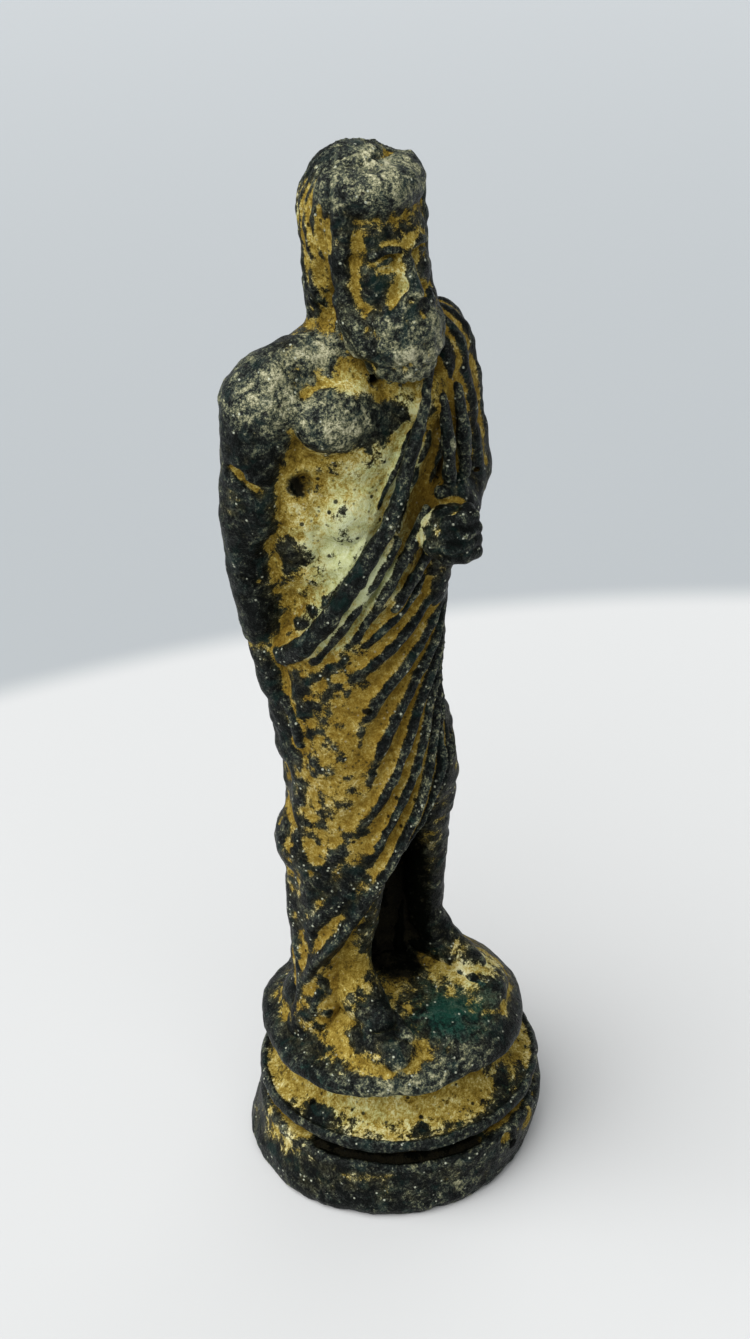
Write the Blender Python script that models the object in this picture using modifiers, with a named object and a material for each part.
"""Bronze statuette: a standing bearded man in a mantle, on a turned pedestal.

The figure is made from separate castings that plug together with pinned tenons, and a stud
draws its ground plinth down on to a spool and a hollow drum. All lengths are in millimetres
until they reach Blender, which works in metres. The figure faces -Y, its right side is at -X,
and the origin is the centre of the drum's resting face.
"""

import math

import bmesh
import bpy
from mathutils import Matrix, Vector

MM = 0.001

# Pedestal
DRUM_RADIUS = 16.6
DRUM_HEIGHT = 7.0
DRUM_WALL = 2.6
DRUM_DECK = 2.0
SPOOL_RADIUS = 16.2
SPOOL_WAIST = 12.0
SPIGOT_RADIUS = 13.4
SPIGOT_HEIGHT = 1.3
PLINTH_RADIUS = 15.1
PLINTH_BOTTOM = 16.0
PLINTH_RIM = 18.6
PLINTH_CROWN = 22.4
PLINTH_EDGE = 1.3
# The rim sits off the axis, and dips on the figure's left
RIM_SHIFT = (-0.5, 0.25)
RIM_DIP = 0.7
RIM_START = 12.6
TURNED_STEPS = 44

# Fixings
STUD_RADIUS = 1.5
STUD_TAIL = 3.4
WASHER_RADIUS = 4.0
WASHER_THICKNESS = 0.6
NUT_RADIUS = 3.2
NUT_HEIGHT = 2.2
PIN_RADIUS = 0.5
PIN_GAP = 0.15
ROD_SEGMENTS = 16
RUNNING_GAP = 0.2
REST_GAP = 0.05

# Castings
CASTING_GAP = 0.3
CLOTH = 1.1
SKIN_VOXEL = 0.45
HEAD_TURN = 9.0
HEAD_AXIS = (0.7, -0.7)
NECK_TENON = ((-0.2, 1.2, 99.5), (-0.2, 1.2, 92.5))
SHOULDER_TENON = ((-11.0, 1.0, 94.2), (-4.6, 1.4, 92.6))
FIST = (3.9, -8.6, 81.4)
HAND_TENON = (6.8, -3.8, 81.4)
TANG_BOTTOM = 18.0

# Each pin: its two ends, and how far its hole runs on past the first end to the surface
NECK_PIN = ((-0.2, -2.2, 97.0), (-0.2, 4.6, 97.0), 6.0)
SHOULDER_PIN = ((-7.2, 5.4, 93.0), (-7.2, -1.6, 93.0), 4.0)
HAND_PIN = ((6.2, -4.8, 83.4), (6.2, -4.8, 79.4), 5.0)

# The mantle's edge lies in this plane, from the left side of the neck to the right hip.
EDGE_POINT = (3.0, -7.0, 95.4)
EDGE_NORMAL = (0.8847, 0.0, -0.4662)
# The hem rises from the right ankle to the left knee.
HEM_POINT = (-9.8, 2.2, 24.6)
HEM_NORMAL = (-0.66, 0.53, 0.53)
# Behind this distance from the axis the cloth falls on to the ground.
BACK_WALL = 1.4

# The rolled edge of the cloth: centre and radius along it, front then back
EDGE_ROLL = (
    ((4.8, -4.6, 99.6), 1.1),
    ((3.0, -6.5, 95.4), 1.1),
    ((0.9, -7.3, 91.6), 1.1),
    ((-0.8, -7.4, 87.2), 1.2),
    ((-3.0, -7.3, 82.9), 1.3),
    ((-6.0, -6.7, 78.6), 1.4),
    ((-8.5, -5.4, 74.4), 1.5),
    ((-10.2, -3.0, 70.8), 1.5),
    ((-10.6, 0.2, 68.2), 1.4),
    ((-8.8, 4.4, 70.2), 1.3),
    ((-3.2, 6.8, 79.0), 1.3),
    ((2.2, 7.3, 88.6), 1.3),
    ((5.6, 5.7, 97.0), 1.3),
)

# Oval sections of the draped lower body: centre, half widths, height
SKIRT = (
    ((-1.3, 0.5), (8.6, 6.9), 76.0),
    ((-1.4, 0.6), (9.3, 7.2), 69.0),
    ((-1.5, 0.7), (9.7, 7.4), 61.0),
    ((-1.3, 0.4), (9.7, 7.5), 53.0),
    ((-2.1, 0.4), (9.4, 7.4), 43.0),
    ((-3.5, 0.9), (8.3, 6.9), 33.0),
    ((-4.3, 1.5), (7.2, 6.2), 24.0),
    ((-4.6, 1.7), (7.4, 6.4), 19.4),
)
FOLDS = 7
FOLD_RADIUS = 1.05

BRONZE = ("patinated_bronze", (0.055, 0.062, 0.048), 0.55, 0.55)
BRASS = ("bare_brass", (0.45, 0.33, 0.13), 0.35, 1.0)


def clear_scene():
    for obj in list(bpy.data.objects):
        bpy.data.objects.remove(obj)


def new_collection(name):
    collection = bpy.data.collections.new(name)
    bpy.context.scene.collection.children.link(collection)
    return collection


def own_material(obj, spec):
    """Each piece gets its own copy of a finish, so that it can be changed alone."""
    finish, colour, roughness, metallic = spec
    made = bpy.data.materials.new(f"{obj.name}_{finish}")
    made.use_nodes = True
    shader = made.node_tree.nodes["Principled BSDF"]
    shader.inputs["Base Color"].default_value = (*colour, 1.0)
    shader.inputs["Roughness"].default_value = roughness
    shader.inputs["Metallic"].default_value = metallic
    obj.data.materials.clear()
    obj.data.materials.append(made)


def object_from(bm, name, collection):
    mesh = bpy.data.meshes.new(name)
    bm.to_mesh(mesh)
    bm.free()
    obj = bpy.data.objects.new(name, mesh)
    collection.objects.link(obj)
    return obj


def baked(obj):
    """Replaces the object's mesh by its evaluated one and drops its modifiers."""
    bpy.context.view_layer.update()
    graph = bpy.context.evaluated_depsgraph_get()
    mesh = bpy.data.meshes.new_from_object(obj.evaluated_get(graph), depsgraph=graph)
    obj.modifiers.clear()
    obj.data = mesh
    return obj


def between(start, end):
    """The matrix that lays a Z-aligned solid from start to end, and the length."""
    axis = Vector(end) - Vector(start)
    middle = (Vector(start) + Vector(end)) / 2 * MM
    turn = Vector((0, 0, 1)).rotation_difference(axis).to_matrix().to_4x4()
    return Matrix.Translation(middle) @ turn, axis.length * MM


# Masses: closed shapes that overlap freely until a voxel remesh puts one skin round them


def ellipsoid(bm, centre, radii, lean=0.0):
    """An ellipsoid, leaned about Y by this many degrees."""
    matrix = Matrix.Translation(Vector(centre) * MM)
    matrix = matrix @ Matrix.Rotation(math.radians(lean), 4, "Y")
    matrix = matrix @ Matrix.Diagonal((*(r * MM for r in radii), 1.0))
    bmesh.ops.create_uvsphere(bm, u_segments=28, v_segments=18, radius=1.0, matrix=matrix)


def limb(bm, stations):
    """A chain of rounded cones through (centre, radius) stations."""
    for centre, radius in stations:
        ellipsoid(bm, centre, (radius,) * 3)
    for (start, first), (end, second) in zip(stations, stations[1:]):
        matrix, length = between(start, end)
        bmesh.ops.create_cone(
            bm,
            cap_ends=True,
            segments=20,
            radius1=first * MM,
            radius2=second * MM,
            depth=length,
            matrix=matrix,
        )


def skinned(obj, iterations):
    remesh = obj.modifiers.new("skin", "REMESH")
    remesh.mode = "VOXEL"
    remesh.voxel_size = SKIN_VOXEL * MM
    smooth = obj.modifiers.new("smooth", "SMOOTH")
    smooth.factor = 0.5
    smooth.iterations = iterations
    return baked(obj)


def thinned(obj, triangles):
    mesh = obj.data
    mesh.calc_loop_triangles()
    thin = obj.modifiers.new("thin", "DECIMATE")
    thin.ratio = min(1.0, triangles / len(mesh.loop_triangles))
    thin.use_collapse_triangulate = True
    return baked(obj)


def casting(bm, name, collection, triangles, iterations=4):
    """One casting from the masses in bm."""
    return thinned(skinned(object_from(bm, name, collection), iterations), triangles)


def hidden(cutter):
    cutter.hide_render = True
    cutter.display_type = "WIRE"
    return cutter


def socket_cutter(obj, cutters, clearance=CASTING_GAP):
    """The object's shape, larger by a clearance all round."""
    cutter = bpy.data.objects.new(f"{obj.name}_socket", obj.data.copy())
    cutters.objects.link(cutter)
    swell = cutter.modifiers.new("swell", "DISPLACE")
    swell.strength = clearance * MM
    swell.mid_level = 0.0
    return hidden(baked(cutter))


def boolean(obj, other, operation="DIFFERENCE"):
    modifier = obj.modifiers.new(operation.lower(), "BOOLEAN")
    modifier.operation = operation
    modifier.solver = "EXACT"
    modifier.use_self = operation == "DIFFERENCE"
    modifier.object = other
    return baked(obj)


def bodies_of(bm):
    """The separate bodies of a mesh, as sets of vertices."""
    left = set(bm.verts)
    bodies = []
    while left:
        body = {left.pop()}
        front = list(body)
        while front:
            vert = front.pop()
            near = {edge.other_vert(vert) for edge in vert.link_edges} & left
            left -= near
            body |= near
            front.extend(near)
        bodies.append(body)
    return bodies


def keep_largest_body(obj):
    """Removes the crumbs that a cut leaves beside the main body."""
    bm = bmesh.new()
    bm.from_mesh(obj.data)
    bodies = bodies_of(bm)
    main = max(bodies, key=len)
    crumbs = [vert for body in bodies if body is not main for vert in body]
    bmesh.ops.delete(bm, geom=crumbs, context="VERTS")
    bm.to_mesh(obj.data)
    bm.free()


def half_space(name, point, normal, cutters):
    """A big block on the side of a plane that its normal points away from."""
    size = 260.0
    turn = Vector((0, 0, 1)).rotation_difference(Vector(normal)).to_matrix().to_4x4()
    middle = Vector(point) - Vector(normal).normalized() * size / 2
    matrix = Matrix.Translation(middle * MM) @ turn
    bm = bmesh.new()
    bmesh.ops.create_cube(bm, size=size * MM, matrix=matrix)
    return hidden(object_from(bm, name, cutters))


# Turned and round pieces


def turned(name, profile, collection, closed=True):
    """A (radius, height) profile, outer side from top to bottom, spun about Z."""
    bm = bmesh.new()
    verts = [bm.verts.new((r * MM, 0, z * MM)) for r, z in profile]
    following = verts[1:] + verts[:1] if closed else verts[1:]
    for a, b in zip(verts, following):
        bm.edges.new((a, b))
    obj = object_from(bm, name, collection)
    screw = obj.modifiers.new("turn", "SCREW")
    screw.steps = TURNED_STEPS
    screw.render_steps = TURNED_STEPS
    screw.use_merge_vertices = True
    screw.merge_threshold = 0.00001
    return baked(obj)


def rod(name, start, end, radius, collection, segments=ROD_SEGMENTS):
    matrix, length = between(start, end)
    bm = bmesh.new()
    bmesh.ops.create_cone(
        bm,
        cap_ends=True,
        segments=segments,
        radius1=radius * MM,
        radius2=radius * MM,
        depth=length,
        matrix=matrix,
    )
    return object_from(bm, name, collection)


def arc(centre, radius, start, end, steps):
    """Profile points on an arc, with angles in degrees from the outward axis."""
    angles = [math.radians(start + (end - start) * i / steps) for i in range(steps + 1)]
    return [(centre[0] + radius * math.cos(a), centre[1] + radius * math.sin(a)) for a in angles]


def base_drum(parts):
    """A ring wall under a deck, open below; its rim is the resting face."""
    bore = STUD_RADIUS + RUNNING_GAP
    inner = DRUM_RADIUS - DRUM_WALL
    deck = DRUM_HEIGHT - DRUM_DECK
    profile = [
        (bore, DRUM_HEIGHT),
        (DRUM_RADIUS - 0.7, DRUM_HEIGHT),
        (DRUM_RADIUS - 0.1, DRUM_HEIGHT - 0.6),
        (DRUM_RADIUS, 1.0),
        (DRUM_RADIUS - 0.4, 0.0),
        (inner, 0.0),
        (inner, deck),
        (bore, deck),
    ]
    return turned("base_drum", profile, parts)


def pedestal_spool(parts):
    """A flange that stands off the drum on a spigot, and a hollow moulding above it."""
    bore = STUD_RADIUS + RUNNING_GAP
    bottom = DRUM_HEIGHT + REST_GAP
    shelf = DRUM_HEIGHT + SPIGOT_HEIGHT
    top = PLINTH_BOTTOM - REST_GAP
    hollow = (SPOOL_WAIST + 4.2, top - 1.7)
    lip = (SPOOL_RADIUS - 0.9, shelf + 1.1)
    profile = [
        (bore, top),
        (SPOOL_WAIST + 0.5, top),
        *arc(hollow, 4.3, 170, 262, 5),
        *arc(lip, 0.9, 62, -80, 4),
        (SPIGOT_RADIUS, shelf),
        (SPIGOT_RADIUS, bottom),
        (bore, bottom),
    ]
    return turned("pedestal_spool", profile, parts)


def ground_plinth(parts):
    """The domed ground that the feet stand on, with a blind hole for the stud."""
    hole = STUD_RADIUS + RUNNING_GAP
    hole_top = PLINTH_RIM + 0.4
    rim = PLINTH_RADIUS - PLINTH_EDGE
    rise = PLINTH_CROWN - PLINTH_RIM
    shares = (0.0, 0.2, 0.4, 0.6, 0.8)
    dome = [(rim * t, PLINTH_RIM + rise * (1 - t**2.4)) for t in shares]
    profile = [
        *dome,
        *arc((rim, PLINTH_BOTTOM + 1.4), PLINTH_EDGE, 88, -80, 5),
        (SPOOL_WAIST + 0.3, PLINTH_BOTTOM),
        (hole, PLINTH_BOTTOM),
        (hole, hole_top),
        (0.0, hole_top),
    ]
    obj = turned("ground_plinth", profile, parts, closed=False)
    for vert in obj.data.vertices:
        angle = math.atan2(vert.co.y, vert.co.x)
        reach = math.hypot(vert.co.x, vert.co.y) / MM
        wander = 0.014 * math.sin(3 * angle + 0.6) + 0.010 * math.sin(7 * angle)
        swell = 1 + wander * max(0.0, reach - SPOOL_WAIST) / (PLINTH_RADIUS - SPOOL_WAIST)
        edge = max(0.0, reach - RIM_START) / (PLINTH_RADIUS - RIM_START)
        left = max(0.0, vert.co.x / MM / PLINTH_RADIUS)
        vert.co.x = vert.co.x * swell + RIM_SHIFT[0] * edge * MM
        vert.co.y = vert.co.y * swell + RIM_SHIFT[1] * edge * MM
        vert.co.z -= RIM_DIP * edge * left * MM
    return obj


def fixings(parts):
    """The stud, with the washer and nut that sit inside the drum."""
    deck = DRUM_HEIGHT - DRUM_DECK
    washer_top = deck - REST_GAP
    washer_bottom = washer_top - WASHER_THICKNESS
    nut_top = washer_bottom - REST_GAP
    nut_bottom = nut_top - NUT_HEIGHT
    bore = STUD_RADIUS + RUNNING_GAP
    stud_bottom = deck - STUD_TAIL
    rod("centre_stud", (0, 0, stud_bottom), (0, 0, PLINTH_RIM), STUD_RADIUS, parts)
    turned(
        "stud_washer",
        [
            (bore, washer_top),
            (WASHER_RADIUS, washer_top),
            (WASHER_RADIUS, washer_bottom),
            (bore, washer_bottom),
        ],
        parts,
    )
    hexagon_nut(parts, nut_bottom, nut_top)


def hexagon_nut(parts, bottom, top):
    """A hexagon nut: inner and outer loops, joined at both ends."""
    bm = bmesh.new()
    bore = STUD_RADIUS + RUNNING_GAP
    steps = 24
    loops = []
    for z in (bottom, top):
        for reach in (bore, NUT_RADIUS):
            loop = []
            for i in range(steps):
                angle = 2 * math.pi * i / steps
                flat = math.cos(math.pi / 6) / math.cos(angle % (math.pi / 3) - math.pi / 6)
                radius = reach * (flat if reach == NUT_RADIUS else 1.0)
                corner = (radius * math.cos(angle), radius * math.sin(angle), z)
                loop.append(bm.verts.new(Vector(corner) * MM))
            loops.append(loop)
    low_in, low_out, high_in, high_out = loops
    for i in range(steps):
        j = (i + 1) % steps
        bm.faces.new((low_out[i], low_out[j], high_out[j], high_out[i]))
        bm.faces.new((high_in[i], high_in[j], low_in[j], low_in[i]))
        bm.faces.new((low_in[i], low_in[j], low_out[j], low_out[i]))
        bm.faces.new((high_out[i], high_out[j], high_in[j], high_in[i]))
    return object_from(bm, "stud_nut", parts)


# The figure


def head_masses(bm):
    """The head facing -Y, on the axis of the neck."""
    ellipsoid(bm, (0, 0.9, 112.7), (5.5, 6.1, 7.3))
    ellipsoid(bm, (0, -2.4, 108.2), (4.3, 3.7, 6.2))
    ellipsoid(bm, (0, -2.2, 103.8), (4.0, 3.4, 3.4))
    ellipsoid(bm, (0, 4.4, 106.4), (4.4, 3.0, 6.2))
    brow = [((x, -5.3 + abs(x) * 0.22, 111.3), 0.75) for x in (-3.0, -1.4, 0.0, 1.4, 3.0)]
    limb(bm, brow)
    limb(bm, [((0, -6.0, 110.6), 0.55), ((0, -6.9, 107.2), 0.8)])
    limb(bm, [((0, -4.7, 103.6), 3.3), ((0, -5.0, 101.6), 3.2), ((0, -4.8, 100.8), 2.8)])
    for side in (-1, 1):
        limb(bm, [((side * 3.4, -2.9, 104.8), 2.0), ((side * 2.2, -4.4, 101.8), 2.4)])
        limb(bm, [((side * 4.3, -0.4, 112.5), 1.8), ((side * 3.9, -0.9, 105.6), 1.5)])
        limb(bm, [((side * 4.1, 2.2, 110.0), 2.1), ((side * 2.9, 3.6, 103.4), 1.9)])
    angles = [math.radians(a) for a in range(200, 341, 20)]
    limb(bm, [((3.9 * math.cos(a), 4.0 * math.sin(a) + 0.2, 116.4), 2.2) for a in angles])


def head(parts):
    bm = bmesh.new()
    head_masses(bm)
    shift = Matrix.Translation((HEAD_AXIS[0] * MM, HEAD_AXIS[1] * MM, 0))
    turn = Matrix.Rotation(math.radians(HEAD_TURN), 4, "Z")
    bmesh.ops.transform(bm, matrix=shift @ turn, verts=bm.verts)
    limb(bm, [((0.3, 0.4, 105.0), 3.3), ((-0.2, 1.2, 100.6), 3.1)])
    limb(bm, [(NECK_TENON[0], 2.1), (NECK_TENON[1], 2.0)])
    return casting(bm, "head", parts, 1500, 3)


def torso_masses(bm):
    ellipsoid(bm, (-0.8, 1.0, 90.5), (8.9, 6.2, 9.6))
    ellipsoid(bm, (-1.2, 0.4, 79.0), (7.5, 5.6, 11.0))
    ellipsoid(bm, (-1.4, 0.8, 70.0), (7.4, 5.8, 8.0))
    for side in (-1, 1):
        ellipsoid(bm, (side * 4.0 - 0.9, -3.4, 94.4), (4.3, 2.9, 3.6))
        ellipsoid(bm, (side * 4.6 - 0.6, 4.4, 92.0), (4.4, 2.8, 6.0))
    ellipsoid(bm, (-7.8, 1.8, 84.0), (3.1, 4.4, 10.0))
    limb(bm, [((-0.2, 1.4, 98.8), 3.1), ((-9.0, 1.0, 97.3), 3.1)])
    limb(bm, [((-0.2, 1.4, 98.4), 3.0), ((6.6, 1.0, 96.0), 2.7)])
    limb(bm, [((-0.2, 1.4, 100.2), 3.1), ((-0.2, 1.4, 96.0), 4.4)])


def right_arm(parts):
    upper = [((-10.8, 1.0, 95.9), 4.2), ((-12.0, 1.3, 90.0), 3.4), ((-12.6, 2.2, 84.0), 2.6)]
    elbow = [upper[-1], ((-12.6, 3.5, 75.8), 2.4), ((-11.9, 3.5, 70.0), 2.3)]
    forearm = [elbow[-1], ((-10.6, 2.6, 63.4), 1.8)]
    bm = bmesh.new()
    for run in (upper, elbow, forearm):
        limb(bm, run)
    ellipsoid(bm, (-10.2, 2.0, 59.4), (1.7, 2.5, 4.4), 6)
    limb(bm, [(SHOULDER_TENON[0], 1.5), (SHOULDER_TENON[1], 1.5)])
    return casting(bm, "right_arm", parts, 640)


def left_hand(parts):
    bm = bmesh.new()
    ellipsoid(bm, FIST, (2.9, 2.4, 2.6))
    for i in range(4):
        knuckle = (FIST[0] - 1.0 + 0.3 * i, FIST[1] - 1.6, FIST[2] + 1.7 - 1.15 * i)
        tip = (knuckle[0] + 2.2, knuckle[1] + 0.4, knuckle[2])
        limb(bm, [(knuckle, 0.75), (tip, 0.7)])
    limb(bm, [(FIST, 1.6), (HAND_TENON, 1.4)])
    return casting(bm, "left_hand", parts, 420, 2)


def leg(parts, name, shin, foot):
    """A leg casting: shin, foot, and a tang under the foot that sits in the plinth."""
    bm = bmesh.new()
    limb(bm, shin)
    limb(bm, foot)
    limb(bm, [(shin[-1][0], shin[-1][1]), foot[0]])
    tang = [(a + b) / 2 for a, b in zip(foot[0][0], foot[1][0])]
    limb(bm, [((tang[0], tang[1], tang[2]), 1.4), ((tang[0], tang[1], TANG_BOTTOM + 1.2), 1.2)])
    return casting(bm, name, parts, 420)


def legs(parts):
    right = leg(
        parts,
        "right_leg",
        [
            ((-4.4, -2.2, 50.0), 3.2),
            ((-4.8, -2.2, 42.0), 3.0),
            ((-5.9, -1.6, 34.0), 2.6),
            ((-6.4, -0.8, 26.0), 2.2),
        ],
        [((-6.6, 0.6, 23.4), 2.0), ((-6.5, -4.6, 23.4), 2.3), ((-6.3, -8.8, 22.0), 1.8)],
    )
    left = leg(
        parts,
        "left_leg",
        [
            ((3.9, -1.6, 56.0), 3.2),
            ((4.3, -2.2, 49.0), 3.0),
            ((4.7, 0.2, 40.0), 2.6),
            ((4.9, 1.0, 27.0), 1.9),
        ],
        [((5.0, 1.6, 23.9), 2.0), ((6.4, -2.0, 23.6), 1.9), ((8.0, -6.2, 22.4), 1.5)],
    )
    return right, left


def skirt_section(z):
    """The skirt's oval at this height, between those listed."""
    for upper, lower in zip(SKIRT, SKIRT[1:]):
        if z >= lower[2]:
            break
    t = (upper[2] - z) / (upper[2] - lower[2])
    centre = [a + (b - a) * t for a, b in zip(upper[0], lower[0])]
    half = [a + (b - a) * t for a, b in zip(upper[1], lower[1])]
    return centre, half


def on_skirt(angle, z):
    (x, y), (a, b) = skirt_section(z)
    return (x + a * math.cos(angle), y + b * math.sin(angle), z)


def skirt(cutters):
    """Oval rings lofted into one closed body, trimmed along the mantle's edge."""
    bm = bmesh.new()
    count = 40
    heights = (76, 71, 66, 61, 57, 53, 48, 43, 38, 33, 28, 24, 19.5)
    angles = [2 * math.pi * i / count for i in range(count)]
    rings = [[bm.verts.new(Vector(on_skirt(a, z)) * MM) for a in angles] for z in heights]
    for high, low in zip(rings, rings[1:]):
        for i in range(count):
            j = (i + 1) % count
            bm.faces.new((low[i], low[j], high[j], high[i]))
    bm.faces.new(rings[0])
    bm.faces.new(rings[-1][::-1])
    obj = hidden(object_from(bm, "skirt", cutters))
    return boolean(obj, half_space("bare_hip", EDGE_POINT, EDGE_NORMAL, cutters))


def under_hem(cutters):
    """What the hem leaves open: everything below it, in front of the back wall."""
    below = half_space("under_hem", HEM_POINT, HEM_NORMAL, cutters)
    front = half_space("in_front", (0, BACK_WALL, 0), (0, 1, 0), cutters)
    return hidden(boolean(below, front, "INTERSECT"))


def fold_path(index):
    """A ridge that sweeps from the left hip down round the front to the right shin."""
    share = index / (FOLDS - 1)
    top = 76.0 - 22.0 * share
    bottom = 62.0 - 34.0 * share
    steps = 8
    path = []
    for step in range(steps + 1):
        t = step / steps
        z = top + (bottom - top) * t**1.35
        angle = math.radians(-28.0 - (88.0 + 26.0 * (1 - share)) * t)
        radius = FOLD_RADIUS * (0.55 + 0.45 * math.sin(math.pi * t))
        path.append((on_skirt(angle, z), radius))
    return path


def draped_torso(cutters):
    """The torso with the cloth's thickness on it, trimmed along the mantle's edge."""
    bm = bmesh.new()
    torso_masses(bm)
    obj = casting(bm, "draped_torso", cutters, 2000)
    cloth = socket_cutter(obj, cutters, CLOTH)
    boolean(cloth, half_space("bare_side", EDGE_POINT, EDGE_NORMAL, cutters))
    hidden(obj)
    return hidden(cloth)


def mantle(parts, cutters):
    """The cloth: skirt, folds, rolled edge, covered shoulder and arm, hem cut aslant."""
    bm = bmesh.new()
    bm.from_mesh(skirt(cutters).data)
    ellipsoid(bm, (-9.2, 1.4, 43.4), (2.6, 3.4, 3.6))
    ellipsoid(bm, (-9.4, 1.6, 56.0), (1.9, 2.9, 2.3))
    for index in range(FOLDS):
        limb(bm, fold_path(index))
    limb(bm, list(EDGE_ROLL))
    limb(bm, [((6.9, 0.9, 96.6), 5.5), ((7.2, 0.8, 92.0), 5.2)])
    limb(bm, [((8.3, 0.5, 93.0), 4.2), ((9.0, -0.8, 83.5), 3.4)])
    limb(bm, [((9.0, -0.8, 83.5), 3.4), ((6.2, -5.2, 81.6), 3.0)])
    limb(bm, [((6.2, -4.8, 81.6), 2.6), ((4.0, -5.0, 74.0), 2.0)])
    for x, y in ((3.4, -7.0), (5.4, -6.2)):
        limb(bm, [((x + 1.0, y + 1.8, 97.0), 0.9), ((x, y, 92.0), 0.9), ((x, y, 86.0), 0.9)])
    cloth = draped_torso(cutters)
    bm.from_mesh(cloth.data)
    obj = skinned(object_from(bm, "mantle", parts), 3)
    boolean(obj, under_hem(cutters))
    return thinned(skinned(obj, 1), 2300)


def pinned(name, pin, pieces, parts, cutters):
    """A cross pin, with its hole bored through the pieces that it holds."""
    start, end, run_out = pin
    into = (Vector(end) - Vector(start)).normalized()
    mouth = Vector(start) - into * run_out
    bottom = Vector(end) + into * PIN_GAP
    hole = hidden(rod(f"{name}_hole", mouth, bottom, PIN_RADIUS + PIN_GAP, cutters))
    for piece in pieces:
        boolean(piece, hole)
        keep_largest_body(piece)
    return rod(name, start, end, PIN_RADIUS, parts)


def figure(parts, cutters):
    top = head(parts)
    arm = right_arm(parts)
    hand = left_hand(parts)
    right, left = legs(parts)
    bm = bmesh.new()
    torso_masses(bm)
    chest = casting(bm, "torso", parts, 1100)
    for piece in (top, arm):
        boolean(chest, socket_cutter(piece, cutters))
    keep_largest_body(chest)
    cloth = mantle(parts, cutters)
    for piece in (chest, top, arm, hand, right, left):
        cutter = cutters.objects.get(f"{piece.name}_socket") or socket_cutter(piece, cutters)
        boolean(cloth, cutter)
    keep_largest_body(cloth)
    ground = ground_plinth(parts)
    for piece in (right, left, cloth):
        cutter = cutters.objects.get(f"{piece.name}_socket") or socket_cutter(piece, cutters)
        boolean(ground, cutter)
    keep_largest_body(ground)
    pins = (
        ("neck_pin", NECK_PIN, (top, chest)),
        ("shoulder_pin", SHOULDER_PIN, (arm, chest)),
        ("hand_pin", HAND_PIN, (hand, cloth)),
    )
    for name, pin, pieces in pins:
        pinned(name, pin, pieces, parts, cutters)
    return [top, arm, hand, right, left, chest, cloth, ground]


def main():
    clear_scene()
    parts = new_collection("bronze_statuette")
    cutters = new_collection("cutters")
    cutters.hide_render = True
    pieces = figure(parts, cutters)
    pieces += [base_drum(parts), pedestal_spool(parts)]
    for piece in pieces:
        own_material(piece, BRONZE)
    fixings(parts)
    for piece in parts.objects:
        if not piece.data.materials:
            own_material(piece, BRASS)
    for piece in parts.objects:
        piece.data.shade_smooth()
        piece.data.set_sharp_from_angle(angle=math.radians(50))


main()
